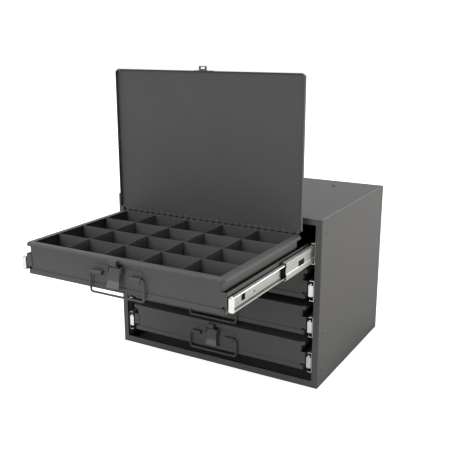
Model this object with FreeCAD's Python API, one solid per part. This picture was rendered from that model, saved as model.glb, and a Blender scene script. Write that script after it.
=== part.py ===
import FreeCAD, Part
import math
import os

os.makedirs("parts", exist_ok=True)

# Millimetres. Z is up, the front faces -Y, and the origin is the middle of the cabinet's underside.

# Cabinet
cabinet_width = 525.0
cabinet_depth = 400.0
cabinet_height = 381.0
sheet = 1.2
side_flange = 14.0
top_flange = 13.5
bottom_lip = 15.5
pan_flange = 14.0
back_flange = 18.0
seam_gap = 0.3
joggle_lap = 1.2
stack_hole_x = 156.0
stack_hole_y = 131.0
stack_hole_radius = 5.5
side_hole_apothem = 2.0
side_hole_y = -178.0
side_hole_heights = [35.3, 122.4, 347.3]

# Hat channels that carry the slides
post_web = 247.0
post_spans = [(-190.0, -160.0), (110.0, 140.0)]
post_foot = 8.0
post_bottom = 15.0

# Drawer levels: the carrier's underside and the slide's middle above it
levels = [1, 2, 3, 4]
first_carrier = 35.7
level_pitch = 82.55
slide_middle_height = 20.5
travel = 341.0
open_level = 4

# Slides, with depths measured inward from the hat channel's web
outer_depths = (0.0, 10.2)
outer_half = 23.0
outer_lip = 1.6
outer_ends = (-195.5, 154.5)
middle_depths = (2.2, 10.8)
middle_half = 18.5
middle_ends = (-160.5, 159.5)
middle_slot = (-99.0, -76.0, 4.5)
inner_depths = (12.7, 5.0)
inner_half = 14.0
inner_ends = (-195.3, 153.0)
inner_slot = (-151.0, -141.5, 5.0)
inner_hole = (-105.0, -3.0, 1.7)
inner_front_tab = (2.0, 12.7, 12.5)
ball_radius = 1.5875
ball_hole_apothem = 1.7
outer_cage = {"web": (1.4, 2.0), "reach": 8.6, "row": 20.15, "depth": 6.2, "ends": (0.0, 90.0)}
inner_cage = {"web": (3.7, 4.5), "reach": 9.4, "row": 15.65, "depth": 7.3, "ends": (-156.0, -70.0)}
cage_strip = 0.8
balls_per_row = 4
ball_end_margin = 6.0
slide_screw_ys = (-175.0, 125.0)
screw_radius = 2.0
screw_head_radius = 3.6
screw_head_depth = 0.6
screw_length = 12.0
screw_clearance = 0.1

# Carrier, a shallow drawer that the box stands in
carrier_half = 227.0
carrier_side = 231.2
carrier_ledge = 15.5
carrier_top = 42.0
carrier_back = 150.0
carrier_lip = 11.0
carrier_tab_inner = 217.5
relief_notch = (221.2, 222.8, 40.2)
pad_ys = (-180.0, -20.0, 120.0)
pad_length = 24.0
pad_heights = (16.0, 25.0)

# Box
front_face = -195.2
box_half = 221.5
box_back = 109.8
box_bottom = 1.2
box_top = 66.6
box_sheet = 0.9
rim_half = 228.6
rim_front = -200.7
rim_back = 117.3
rim_bottom = 59.5
rim_corner = 6.0
columns = 5
rows = 4
divider_sheet = 0.8
divider_slot = 1.0
divider_top = 66.2
divider_slack = 0.9

# Lid and its piano hinge
lid_half = 230.3
lid_front_reach = 7.0
lid_back = 114.5
lid_side_back = 112.0
lid_sheet = 1.0
lid_under = 66.9
lid_flange_bottom = 59.0
lid_corner = (8.0, 6.0)
lid_open_angle = 90.0
hinge_y = 118.3
hinge_height = 70.4
knuckle_count = 55
knuckle_half_run = 221.4
knuckle_gap = 0.45
knuckle_outer = 2.5
knuckle_bore = 1.3
hinge_wire = 1.15
wire_head_radius = 2.2
wire_head = 0.8
strike_half = 22.0
strike_sheet = 0.8
strike_tab_half = 9.5
strike_tab_reach = 16.8
strike_tab_heights = (58.4, 59.6)
strike_slot = (5.0, 11.0, 15.0)

# Latch and bail on the box's front. Reach is the distance in front of the box's front face.
plate_half = 56.0
plate_sheet = 1.2
plate_heights = (17.5, 50.5)
rivet_x = 45.7
rivet_heights = (24.5, 45.5)
rivet_radius = 1.6
rivet_hole = 1.7
rivet_head_radius = 3.0
rivet_head = 0.9
rivet_tail_radius = 2.6
rivet_tail = 0.7
bail_reach = 7.0
bail_height = 35.0
bail_wire = 2.2
bail_half = 62.5
bail_drop = 40.0
bail_bend = 5.5
bail_wire_inner = 34.0
lug_span = (33.0, 56.0)
lug_outer = 4.0
lug_bore = 2.3
ear_span = (14.0, 15.2)
ear_outline = [(0.6, 41.0), (11.5, 41.0), (13.0, 43.0), (13.0, 51.0), (11.5, 53.0), (5.0, 54.0), (0.6, 50.0)]
pivot_reach = 8.5
pivot_height = 47.0
pivot_radius = 1.5
pivot_bore = 1.6
pivot_head_radius = 2.4
pivot_head = 1.0
spring_radius = 2.2
spring_half = 9.0
lever_outline = [
    (16.6, 13.5), (12.8, 27.0), (12.0, 47.0), (12.0, 50.5), (18.5, 57.0), (18.5, 66.4), (12.8, 66.4),
    (12.8, 65.2), (17.3, 65.2), (17.3, 57.5), (10.8, 51.0), (10.8, 47.0), (11.6, 26.8), (15.4, 13.2),
]
lever_front = [(14.5, 13.0), (12.4, 27.0), (12.4, 51.0), (8.0, 53.0), (8.0, 67.0)]
lever_flange_span = (11.2, 12.4)
lever_flange = [(11.9, 27.5), (9.5, 27.5), (5.5, 42.0), (5.5, 51.5), (11.0, 51.5)]
lever_open_angle = 6.0

# Places worked out from the sizes above
half_width = cabinet_width / 2
inside_half = half_width - sheet
cabinet_front = -cabinet_depth / 2
cabinet_back_face = cabinet_depth / 2
inside_top = cabinet_height - sheet
flange_inner = half_width - side_flange
lid_top = lid_under + lid_sheet
knuckle_pitch = 2 * knuckle_half_run / knuckle_count
x_axis = FreeCAD.Vector(1, 0, 0)


def block(x0, x1, y0, y1, z0, z1):
    corner = FreeCAD.Vector(x0, y0, z0)
    return Part.makeBox(x1 - x0, y1 - y0, z1 - z0, corner)


def extruded(points, direction):
    outline = Part.makePolygon(points + points[:1])
    return Part.Face(outline).extrude(direction)


def along_x(outline, x0, x1):
    points = [FreeCAD.Vector(x0, y, z) for y, z in outline]
    return extruded(points, FreeCAD.Vector(x1 - x0, 0, 0))


def along_y(outline, y0, y1):
    points = [FreeCAD.Vector(x, y0, z) for x, z in outline]
    return extruded(points, FreeCAD.Vector(0, y1 - y0, 0))


def along_z(outline, z0, z1):
    points = [FreeCAD.Vector(x, y, z0) for x, y in outline]
    return extruded(points, FreeCAD.Vector(0, 0, z1 - z0))


# A twelve-sided ring or hole, given by the distance from its middle to its flats
def twelve_sided(centre, apothem):
    corner = apothem / math.cos(math.pi / 12)
    angles = [math.pi / 12 + step * math.pi / 6 for step in range(12)]
    return [(centre[0] + corner * math.cos(angle), centre[1] + corner * math.sin(angle)) for angle in angles]


def rod_x(y, z, radius, x0, x1):
    return Part.makeCylinder(radius, x1 - x0, FreeCAD.Vector(x0, y, z), x_axis)


def rod_y(x, z, radius, y0, y1):
    return Part.makeCylinder(radius, y1 - y0, FreeCAD.Vector(x, y0, z), FreeCAD.Vector(0, 1, 0))


def joined(shapes):
    return shapes[0].fuse(shapes[1:]).removeSplitter()


def mirrored(shape):
    return shape.mirror(FreeCAD.Vector(0, 0, 0), x_axis)


def both_sides(shapes):
    return shapes + [mirrored(shape) for shape in shapes]


def moved(shape, y, z):
    copy = shape.copy()
    copy.translate(FreeCAD.Vector(0, y, z))
    return copy


def turned_about_x(shape, y, z, angle):
    copy = shape.copy()
    copy.rotate(FreeCAD.Vector(0, y, z), x_axis, angle)
    return copy


def save(name, shapes):
    solids = [solid for shape in shapes for solid in shape.Solids]
    for solid in solids:
        if not solid.isValid():
            print("not valid:", name)
    Part.makeCompound(solids).exportStep(f"parts/{name}.step")


def reach(distance):
    return front_face - distance


def reach_outline(outline):
    return [(reach(distance), height) for distance, height in outline]


def carrier_height(level):
    return first_carrier + level_pitch * (level - 1)


def drawer_y(level):
    return -travel if level == open_level else 0.0


def at_level(shape, level, share=1.0):
    return moved(shape, drawer_y(level) * share, carrier_height(level))


# The cabinet's sides and top are one bent sheet, with front flanges and a stepped edge for the back
def cabinet_shell():
    seam = cabinet_back_face - back_flange - seam_gap
    step = seam - joggle_lap
    pieces = [
        block(-half_width, half_width, cabinet_front, seam, inside_top, cabinet_height),
        block(-inside_half, inside_half, step, cabinet_back_face - sheet, inside_top - sheet, inside_top),
        block(-half_width, half_width, cabinet_front, cabinet_front + sheet,
              cabinet_height - top_flange, cabinet_height),
    ]
    pieces += both_sides([
        block(inside_half, half_width, cabinet_front, seam, 0, cabinet_height),
        block(inside_half - sheet, inside_half, step, cabinet_back_face - sheet, sheet, inside_top),
        block(flange_inner, half_width, cabinet_front, cabinet_front + sheet, 0, cabinet_height),
    ])
    shell = joined(pieces)
    holes = []
    for x in (-stack_hole_x, stack_hole_x):
        for y in (-stack_hole_y, stack_hole_y):
            start = FreeCAD.Vector(x, y, inside_top - 1)
            holes.append(Part.makeCylinder(stack_hole_radius, sheet + 2, start))
    for height in side_hole_heights:
        outline = twelve_sided((side_hole_y, height), side_hole_apothem)
        holes += both_sides([along_x(outline, inside_half - 1, half_width + 1)])
    return shell.cut(holes)


def cabinet_bottom():
    floor_end = cabinet_back_face - sheet
    pieces = [
        block(-inside_half, inside_half, cabinet_front + sheet, floor_end, 0, sheet),
        block(-flange_inner, flange_inner, cabinet_front, cabinet_front + sheet, 0, bottom_lip),
    ]
    pieces += both_sides([
        block(inside_half - sheet, inside_half, -190, 178, sheet, pan_flange),
    ])
    return joined(pieces)


def cabinet_back():
    start = cabinet_back_face - back_flange
    end = cabinet_back_face - sheet
    pieces = [
        block(-half_width, half_width, end, cabinet_back_face, 0, cabinet_height),
        block(-half_width, half_width, start, end, inside_top, cabinet_height),
    ]
    pieces += both_sides([block(inside_half, half_width, start, end, 0, cabinet_height)])
    return joined(pieces)


def slide_posts():
    posts = []
    for y0, y1 in post_spans:
        web_back = post_web + sheet
        pieces = [
            block(post_web, web_back, y0, y1, post_bottom, inside_top),
            block(post_web, inside_half, y0, y0 + sheet, post_bottom, inside_top),
            block(post_web, inside_half, y1 - sheet, y1, post_bottom, inside_top),
            block(inside_half - sheet, inside_half, y0 - post_foot, y0, post_bottom, inside_top),
            block(inside_half - sheet, inside_half, y1, y1 + post_foot, post_bottom, inside_top),
        ]
        post = joined(pieces)
        posts.append(post.cut(screw_holes(web_back)))
    return both_sides(posts)


def slide_levels():
    return [carrier_height(level) + slide_middle_height for level in levels]


def screw_holes(end):
    holes = []
    for height in slide_levels():
        for y in slide_screw_ys:
            outline = twelve_sided((y, height), screw_radius + screw_clearance)
            holes.append(along_x(outline, post_web - sheet - 1, end + 1))
    return holes


# Outline of a slide member in depth and height, as X and height on the right-hand side
def channel_outline(web_depth, edge_depth, half_height, lip):
    towards_edge = sheet if edge_depth > web_depth else -sheet
    web_face = web_depth + towards_edge
    under = half_height - sheet
    upper = [(web_depth, half_height), (edge_depth, half_height)]
    if lip > 0:
        upper += [(edge_depth, under - lip), (edge_depth - towards_edge, under - lip)]
        upper += [(edge_depth - towards_edge, under)]
    else:
        upper += [(edge_depth, under)]
    upper += [(web_face, under)]
    lower = [(depth, -height) for depth, height in reversed(upper)]
    return [(post_web - depth, height) for depth, height in upper + lower]


def web_window(y0, y1, half_height, depth):
    x = post_web - depth
    return block(x - 2, x + 2, y0, y1, -half_height, half_height)


def slide_outer():
    outline = channel_outline(outer_depths[0], outer_depths[1], outer_half, outer_lip)
    member = along_y(outline, outer_ends[0], outer_ends[1])
    recesses = []
    for y in slide_screw_ys:
        shank = twelve_sided((y, 0), screw_radius + screw_clearance)
        head = twelve_sided((y, 0), screw_head_radius + screw_clearance)
        recesses.append(along_x(shank, post_web - sheet - 1, post_web + 1))
        recesses.append(along_x(head, post_web - sheet - 1, post_web - sheet + screw_head_depth))
    return member.cut(recesses)


def slide_middle():
    outline = channel_outline(middle_depths[0], middle_depths[1], middle_half, 0)
    member = along_y(outline, middle_ends[0], middle_ends[1])
    window = web_window(middle_slot[0], middle_slot[1], middle_slot[2], middle_depths[0])
    return member.cut([window])


def slide_inner():
    outline = channel_outline(inner_depths[0], inner_depths[1], inner_half, 0)
    member = along_y(outline, inner_ends[0], inner_ends[1])
    window = web_window(inner_slot[0], inner_slot[1], inner_slot[2], inner_depths[0])
    hole = along_x(twelve_sided(inner_hole[:2], inner_hole[2]), post_web - inner_depths[0] - 1, post_web)
    near, far, half_height = inner_front_tab
    tab = block(post_web - far, post_web - near, inner_ends[0] - sheet, inner_ends[0], -half_height, half_height)
    return joined([member.cut([window, hole]), tab])


# A cage is a channel whose two strips hold a row of balls each
def ball_cage(cage):
    start, end = cage["ends"]
    web_near, web_far = cage["web"]
    row = cage["row"]
    middle_x = post_web - cage["depth"]
    top = row + cage_strip / 2
    pieces = [block(post_web - web_far, post_web - web_near, start, end, -top, top)]
    for side in (-1, 1):
        heights = sorted([side * (row - cage_strip / 2), side * top])
        pieces.append(block(post_web - cage["reach"], post_web - web_near, start, end, heights[0], heights[1]))
    cage_body = joined(pieces)
    pitch = (end - start - 2 * ball_end_margin) / (balls_per_row - 1)
    balls = []
    holes = []
    for index in range(balls_per_row):
        y = start + ball_end_margin + pitch * index
        holes.append(along_z(twelve_sided((middle_x, y), ball_hole_apothem), -top - 1, top + 1))
        for side in (-1, 1):
            balls.append(Part.makeSphere(ball_radius, FreeCAD.Vector(middle_x, y, side * row)))
    return [cage_body.cut(holes)] + balls


def slide_screw(y):
    head_face = post_web - sheet
    shank = rod_x(y, 0, screw_radius, head_face, head_face + screw_length)
    head = rod_x(y, 0, screw_head_radius, head_face, head_face + screw_head_depth)
    return joined([shank, head])


def carrier():
    front = inner_ends[0]
    pieces = [
        block(-carrier_half, carrier_half, front - sheet, carrier_back, 0, sheet),
        block(-carrier_half, carrier_half, front - sheet, front, 0, carrier_lip),
        block(-carrier_half, carrier_half, carrier_back - sheet, carrier_back, 0, carrier_lip),
    ]
    wall = carrier_half - sheet
    side = [
        block(wall, carrier_half, front, carrier_back, 0, carrier_ledge),
        block(wall, carrier_side, front, carrier_back, carrier_ledge - sheet, carrier_ledge),
        block(carrier_side - sheet, carrier_side, front, carrier_back, carrier_ledge - sheet, carrier_top),
        block(carrier_tab_inner, carrier_side, front - sheet, front, carrier_ledge - sheet, carrier_top),
    ]
    pad_outer = post_web - inner_depths[0]
    for y in pad_ys:
        side.append(block(carrier_side, pad_outer, y, y + pad_length, pad_heights[0], pad_heights[1]))
    body = joined(pieces + both_sides(side))
    notch_inner, notch_outer, notch_bottom = relief_notch
    notch = block(notch_inner, notch_outer, front - sheet - 1, front + 1, notch_bottom, carrier_top + 1)
    return body.cut(both_sides([notch]))


def rivet_places():
    return [(x, z) for x in (-rivet_x, rivet_x) for z in rivet_heights]


def rivet_holes(y0, y1):
    return [along_y(twelve_sided(place, rivet_hole), y0, y1) for place in rivet_places()]


def chamfered_plan(half, front, back, cut_x, cut_y):
    right = [(half - cut_x, front), (half, front + cut_y), (half, back - cut_y), (half - cut_x, back)]
    left = [(-x, y) for x, y in reversed(right)]
    return right + left


def knuckle_span(index):
    start = -knuckle_half_run + index * knuckle_pitch + knuckle_gap / 2
    return start, start + knuckle_pitch - knuckle_gap


# One hinge knuckle with the tongue that joins it to its sheet
def knuckle(index, tongue):
    x0, x1 = knuckle_span(index)
    ring = along_x(twelve_sided((hinge_y, hinge_height), knuckle_outer), x0, x1)
    bore = along_x(twelve_sided((hinge_y, hinge_height), knuckle_bore), x0 - 1, x1 + 1)
    return joined([ring, along_x(tongue, x0, x1)]).cut(bore)


def box():
    tub = block(-box_half, box_half, front_face, box_back, box_bottom, box_top)
    inside = block(-box_half + box_sheet, box_half - box_sheet, front_face + box_sheet, box_back - box_sheet,
                   box_bottom + box_sheet, box_top + 1)
    rim_outline = chamfered_plan(rim_half, rim_front, rim_back, rim_corner, rim_corner)
    rim_inner = chamfered_plan(rim_half - box_sheet, rim_front + box_sheet, rim_back - box_sheet,
                               rim_corner, rim_corner)
    rim = along_z(rim_outline, rim_bottom, box_top)
    under_rim = along_z(rim_inner, rim_bottom - 1, box_top - box_sheet)
    body = joined([rim.cut(under_rim), tub]).cut([inside] + rivet_holes(front_face - 2, front_face + 2))
    tongue = [(rim_back - box_sheet, box_top - box_sheet), (rim_back, box_top - box_sheet),
              (rim_back, hinge_height - 0.9), (rim_back - box_sheet, hinge_height - 0.9)]
    knuckles = [knuckle(index, tongue) for index in range(0, knuckle_count, 2)]
    return joined([body] + knuckles)


# Crossing divider plates, halved into each other
def dividers():
    inner_half = box_half - box_sheet
    front = front_face + box_sheet
    back = box_back - box_sheet
    bottom = box_bottom + box_sheet
    middle = (bottom + divider_top) / 2
    column = 2 * inner_half / columns
    row = (back - front) / rows
    xs = [-inner_half + column * index for index in range(1, columns)]
    ys = [front + row * index for index in range(1, rows)]
    half_sheet = divider_sheet / 2
    half_slot = divider_slot / 2
    plates = []
    for y in ys:
        plate = block(-inner_half, inner_half, y - half_sheet, y + half_sheet, bottom, divider_top)
        slots = [block(x - half_slot, x + half_slot, y - 2, y + 2, middle, divider_top + 1) for x in xs]
        plates.append(plate.cut(slots))
    for x in xs:
        plate = block(x - half_sheet, x + half_sheet, front + divider_slack, back - divider_slack,
                      bottom, divider_top)
        slots = [block(x - 2, x + 2, y - half_slot, y + half_slot, bottom - 1, middle) for y in ys]
        plates.append(plate.cut(slots))
    return plates


def lid():
    front = reach(lid_front_reach)
    cut_x, cut_y = lid_corner
    panel_outline = [(lid_half - cut_x, front), (lid_half, front + cut_y), (lid_half, lid_back)]
    panel_outline += [(-x, y) for x, y in reversed(panel_outline)]
    front_half = lid_half - cut_x
    pieces = [
        along_z(panel_outline, lid_under, lid_top),
        block(-front_half, front_half, front, front + lid_sheet, lid_flange_bottom, lid_top),
    ]
    pieces += both_sides([
        block(lid_half - lid_sheet, lid_half, front + cut_y, lid_side_back, lid_flange_bottom, lid_top),
    ])
    tongue = [(lid_back - 0.3, lid_under), (hinge_y, lid_under), (hinge_y, lid_top + 0.6),
              (lid_back + 1.7, lid_top + 1.1), (lid_back - 0.3, lid_top)]
    knuckles = [knuckle(index, tongue) for index in range(1, knuckle_count, 2)]
    return joined(pieces + knuckles)


# The strike is a small plate on the lid's front flange, with a slotted tab that the latch hooks over
def strike():
    face = reach(lid_front_reach)
    tab_bottom, tab_top = strike_tab_heights
    slot_half, slot_near, slot_far = strike_slot
    plate = block(-strike_half, strike_half, face - strike_sheet, face, tab_bottom, lid_top - 1)
    tab = block(-strike_tab_half, strike_tab_half, reach(strike_tab_reach), face, tab_bottom, tab_top)
    slot = block(-slot_half, slot_half, reach(slot_far), reach(slot_near), tab_bottom - 1, tab_top + 1)
    return joined([plate, tab]).cut(slot)


def hinge_pin():
    start = knuckle_span(0)[0]
    end = knuckle_span(knuckle_count - 1)[1]
    pieces = [
        rod_x(hinge_y, hinge_height, hinge_wire, start, end),
        rod_x(hinge_y, hinge_height, wire_head_radius, start - wire_head, start),
        rod_x(hinge_y, hinge_height, wire_head_radius, end, end + wire_head),
    ]
    return joined(pieces)


def latch_plate():
    centre = (reach(bail_reach), bail_height)
    foot = reach_outline([(0.6, bail_height - lug_outer), (bail_reach, bail_height - lug_outer),
                          (bail_reach, bail_height + lug_outer), (0.6, bail_height + lug_outer)])
    bore = twelve_sided(centre, lug_bore)
    sides = [
        along_x(foot, lug_span[0], lug_span[1]),
        along_x(twelve_sided(centre, lug_outer), lug_span[0], lug_span[1]),
        along_x(reach_outline(ear_outline), ear_span[0], ear_span[1]),
    ]
    plate = block(-plate_half, plate_half, reach(plate_sheet), front_face, plate_heights[0], plate_heights[1])
    holes = rivet_holes(front_face - 3, front_face + 1)
    holes += both_sides([
        along_x(bore, lug_span[0] - 1, lug_span[1] + 1),
        along_x(twelve_sided((reach(pivot_reach), pivot_height), pivot_bore), ear_span[0] - 1, ear_span[1] + 1),
    ])
    behind = block(-plate_half, plate_half, front_face, front_face + 5, 0, 60)
    return joined([plate] + both_sides(sides)).cut(holes + [behind])


def latch_lever():
    strip = along_x(reach_outline(lever_outline), -20, 20)
    silhouette = lever_front + [(-x, z) for x, z in reversed(lever_front)]
    strip = strip.common(along_y(silhouette, reach(30), front_face))
    flanges = both_sides([along_x(reach_outline(lever_flange), lever_flange_span[0], lever_flange_span[1])])
    bore = along_x(twelve_sided((reach(pivot_reach), pivot_height), pivot_bore), -20, 20)
    return joined([strip] + flanges).cut(bore)


def latch_spring():
    y = reach(pivot_reach)
    sleeve = rod_x(y, pivot_height, spring_radius, -spring_half, spring_half)
    return sleeve.cut(rod_x(y, pivot_height, pivot_radius, -spring_half - 1, spring_half + 1))


def rivets():
    fasteners = []
    plate_face = reach(plate_sheet)
    wall_back = front_face + box_sheet
    for x, z in rivet_places():
        pieces = [
            rod_y(x, z, rivet_radius, plate_face, wall_back),
            rod_y(x, z, rivet_head_radius, plate_face - rivet_head, plate_face),
            rod_y(x, z, rivet_tail_radius, wall_back, wall_back + rivet_tail),
        ]
        fasteners.append(joined(pieces))
    y = reach(pivot_reach)
    end = ear_span[1]
    pin = [
        rod_x(y, pivot_height, pivot_radius, -end, end),
        rod_x(y, pivot_height, pivot_head_radius, -end - pivot_head, -end),
        rod_x(y, pivot_height, pivot_head_radius, end, end + pivot_head),
    ]
    return fasteners + [joined(pin)]


# The bail is one bent wire whose ends turn in the plate's rolled lugs
def bail():
    y = reach(bail_reach)
    top = bail_height
    bottom = bail_height - bail_drop
    swing = bail_bend * math.sqrt(0.5)
    corner_x = bail_half - bail_bend
    ends = [(bail_wire_inner, top), (corner_x, top), (bail_half, top - bail_bend),
            (bail_half, bottom + bail_bend), (corner_x, bottom)]
    arcs = [(corner_x + swing, top - bail_bend + swing), (corner_x + swing, bottom + bail_bend - swing)]
    points = [FreeCAD.Vector(x, y, z) for x, z in ends]
    bends = [FreeCAD.Vector(x, y, z) for x, z in arcs]
    right = [
        Part.LineSegment(points[0], points[1]),
        Part.Arc(points[1], bends[0], points[2]),
        Part.LineSegment(points[2], points[3]),
        Part.Arc(points[3], bends[1], points[4]),
    ]
    edges = [curve.toShape() for curve in right]
    far = FreeCAD.Vector(-corner_x, y, bottom)
    bar = Part.LineSegment(points[4], far).toShape()
    path = Part.Wire(Part.__sortEdges__(edges + [bar] + [mirrored(edge) for edge in edges]))
    profile = Part.Wire(Part.makeCircle(bail_wire, points[0], x_axis))
    return path.makePipeShell([profile], True, False)


def save_cabinet():
    save("cabinet_shell", [cabinet_shell()])
    save("cabinet_bottom", [cabinet_bottom()])
    save("cabinet_back", [cabinet_back()])
    save("slide_posts", slide_posts())
    rails = [moved(slide_outer(), 0, height) for height in slide_levels()]
    save("slide_outer_right", rails)
    save("slide_outer_left", [mirrored(rail) for rail in rails])
    screws = [moved(slide_screw(y), 0, height) for height in slide_levels() for y in slide_screw_ys]
    save("slide_screws", both_sides(screws))


def save_drawers():
    fixed_to_drawer = {
        "carrier": [carrier()],
        "box": [box()],
        "dividers": dividers(),
        "hinge_pin": [hinge_pin()],
        "latch_plate": [latch_plate()],
        "latch_spring": [latch_spring()],
        "rivets": rivets(),
        "bail": [bail()],
        "slide_inner": both_sides([moved(slide_inner(), 0, slide_middle_height)]),
    }
    halfway = {
        "slide_middle": both_sides([moved(slide_middle(), 0, slide_middle_height)]),
        "ball_cages": both_sides([
            moved(piece, 0, slide_middle_height)
            for piece in ball_cage(outer_cage) + ball_cage(inner_cage)
        ]),
    }
    closed_lid = [lid(), strike()]
    open_lid = [turned_about_x(piece, hinge_y, hinge_height, -lid_open_angle) for piece in closed_lid]
    hooked_lever = latch_lever()
    free_lever = turned_about_x(hooked_lever, reach(pivot_reach), pivot_height, -lever_open_angle)
    for level in levels:
        for name, shapes in fixed_to_drawer.items():
            save(f"{name}_{level}", [at_level(shape, level) for shape in shapes])
        for name, shapes in halfway.items():
            save(f"{name}_{level}", [at_level(shape, level, 0.5) for shape in shapes])
        is_open = level == open_level
        lid_shapes = open_lid if is_open else closed_lid
        lever = free_lever if is_open else hooked_lever
        save(f"lid_{level}", [at_level(shape, level) for shape in lid_shapes])
        save(f"latch_lever_{level}", [at_level(lever, level)])


save_cabinet()
save_drawers()
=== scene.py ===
import bpy
import bmesh
import math
from mathutils import Matrix, Vector


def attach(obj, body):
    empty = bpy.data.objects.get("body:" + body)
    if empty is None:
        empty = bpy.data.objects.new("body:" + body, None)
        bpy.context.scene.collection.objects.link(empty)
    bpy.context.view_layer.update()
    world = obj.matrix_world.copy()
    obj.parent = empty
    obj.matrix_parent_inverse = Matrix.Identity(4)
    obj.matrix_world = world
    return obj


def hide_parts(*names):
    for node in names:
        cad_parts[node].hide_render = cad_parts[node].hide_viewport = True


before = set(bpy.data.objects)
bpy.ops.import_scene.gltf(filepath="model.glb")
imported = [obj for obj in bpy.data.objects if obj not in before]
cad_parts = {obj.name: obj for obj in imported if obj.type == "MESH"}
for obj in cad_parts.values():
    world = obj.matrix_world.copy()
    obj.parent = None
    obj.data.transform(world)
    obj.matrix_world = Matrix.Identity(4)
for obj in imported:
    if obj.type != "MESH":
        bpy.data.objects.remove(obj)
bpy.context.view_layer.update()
mm = 0.001  # sizes below are in millimetres, meshes are made in metres
meshWeld, nodeWeld = 1e-7, 1e-6
shading = {
    "sharp": 35, "sharpBox": 30, "sharpRepeats": 40, "sharpWire": 50, "bevelFrom": 40, "bevelSegments": 2,
    "flatWithin": 1,
}

rack = {
    "levels": (1, 2, 3, 4), "openLevel": 4, "firstCarrier": 35.7, "pitch": 82.55, "slideMiddle": 20.5,
    "travel": 341.0, "frontFace": -195.2,
}
hinge = {
    "y": 118.3, "z": 70.4, "count": 55, "halfRun": 221.4, "gap": 0.45, "radius": 2.5, "openAngle": 90.0,
    "boxTongue": ((0.9, 4.4), (116.85, 67.9)), "lidTongue": ((5.9, 1.0), (117.25, 67.4)),
}
pivot = {"reach": 8.5, "z": 47.0, "openAngle": 6.0}


# Shapes

def roundedCorners(points, radius, steps=4, closed=True):
    outline = []
    count = len(points)
    radii = radius if isinstance(radius, (list, tuple)) else [radius] * count
    for index, point in enumerate(points):
        here = Vector(point)
        isEnd = not closed and index in (0, count - 1)
        if isEnd or radii[index] <= 0:
            outline.append(here)
            continue
        before = (Vector(points[index - 1]) - here).normalized()
        after = (Vector(points[(index + 1) % count]) - here).normalized()
        half = before.angle(after) / 2
        centre = here + (before + after).normalized() * radii[index] / math.sin(half)
        start = here + before * radii[index] / math.tan(half) - centre
        end = here + after * radii[index] / math.tan(half) - centre
        sweep = math.pi - 2 * half
        for step in range(steps + 1):
            share = step / steps
            weightStart = math.sin((1 - share) * sweep) / math.sin(sweep)
            weightEnd = math.sin(share * sweep) / math.sin(sweep)
            outline.append(centre + start * weightStart + end * weightEnd)
    return outline


def arcPoints(centre, radius, startAngle, endAngle, steps):
    points = []
    for step in range(steps + 1):
        angle = math.radians(startAngle + (endAngle - startAngle) * step / steps)
        points.append(Vector((centre[0] + radius * math.cos(angle), centre[1] + radius * math.sin(angle))))
    return points


def thickened(path, thickness):  # a sheet's section from the line through its middle
    left = []
    right = []
    for index, point in enumerate(path):
        before = path[max(index - 1, 0)]
        after = path[min(index + 1, len(path) - 1)]
        along = (after - before).normalized()
        side = Vector((-along.y, along.x)) * thickness / 2
        left.append(point + side)
        right.append(point - side)
    return left + right[::-1]


def sheetSection(points, thickness, bend, steps=4):
    return thickened(roundedCorners(points, bend, steps, closed=False), thickness)


class Piece:  # vertices and faces of one piece while it is made
    def __init__(self):
        self.vertices = []
        self.faces = []

    def rings(self, rings):  # a skin over rings of equal count, closed at both ends
        first = len(self.vertices)
        size = len(rings[0])
        last = first + (len(rings) - 1) * size
        for ring in rings:
            self.vertices += [Vector(point) * mm for point in ring]
        for here in range(first, last, size):
            there = here + size
            for index in range(size):
                after = (index + 1) % size
                self.faces.append((here + index, here + after, there + after, there + index))
        for start in (first, last):
            self.faces.append(tuple(range(start, start + size)))
        return self

    def alongX(self, outline, x0, x1):
        return self.rings([[(x, a, b) for a, b in outline] for x in (x0, x1)])

    def alongY(self, outline, y0, y1):
        return self.rings([[(a, y, b) for a, b in outline] for y in (y0, y1)])

    def alongZ(self, outline, z0, z1):
        return self.rings([[(a, b, z) for a, b in outline] for z in (z0, z1)])

    def block(self, x0, x1, y0, y1, z0, z1):
        return self.alongZ([(x0, y0), (x1, y0), (x1, y1), (x0, y1)], z0, z1)

    def mesh(self, name):
        mesh = bpy.data.meshes.new(name)
        mesh.from_pydata(self.vertices, [], self.faces)
        return mesh

    def make(self, name, material, edge=0.0, sharp=shading["sharp"], cuts=None):
        return finishedMesh(name, self.mesh(name), material, edge, sharp, cuts)


def linked(name, mesh):
    piece = bpy.data.objects.new(name, mesh)
    bpy.context.scene.collection.objects.link(piece)
    return piece


def outwardFaces(mesh):
    work = bmesh.new()
    work.from_mesh(mesh)
    bmesh.ops.remove_doubles(work, verts=work.verts, dist=meshWeld)
    bmesh.ops.recalc_face_normals(work, faces=work.faces)
    work.to_mesh(mesh)
    work.free()


def evaluatedMesh(piece):
    bpy.context.view_layer.update()
    depsgraph = bpy.context.evaluated_depsgraph_get()
    return bpy.data.meshes.new_from_object(piece.evaluated_get(depsgraph), depsgraph=depsgraph)


def baked(piece):  # turns live modifiers into a plain mesh
    mesh = evaluatedMesh(piece)
    piece.modifiers.clear()
    old = piece.data
    piece.data = mesh
    bpy.data.meshes.remove(old)
    return piece


def smoothed(mesh, sharp):
    mesh.polygons.foreach_set("use_smooth", [True] * len(mesh.polygons))
    mesh.set_sharp_from_angle(angle=math.radians(sharp))


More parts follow.
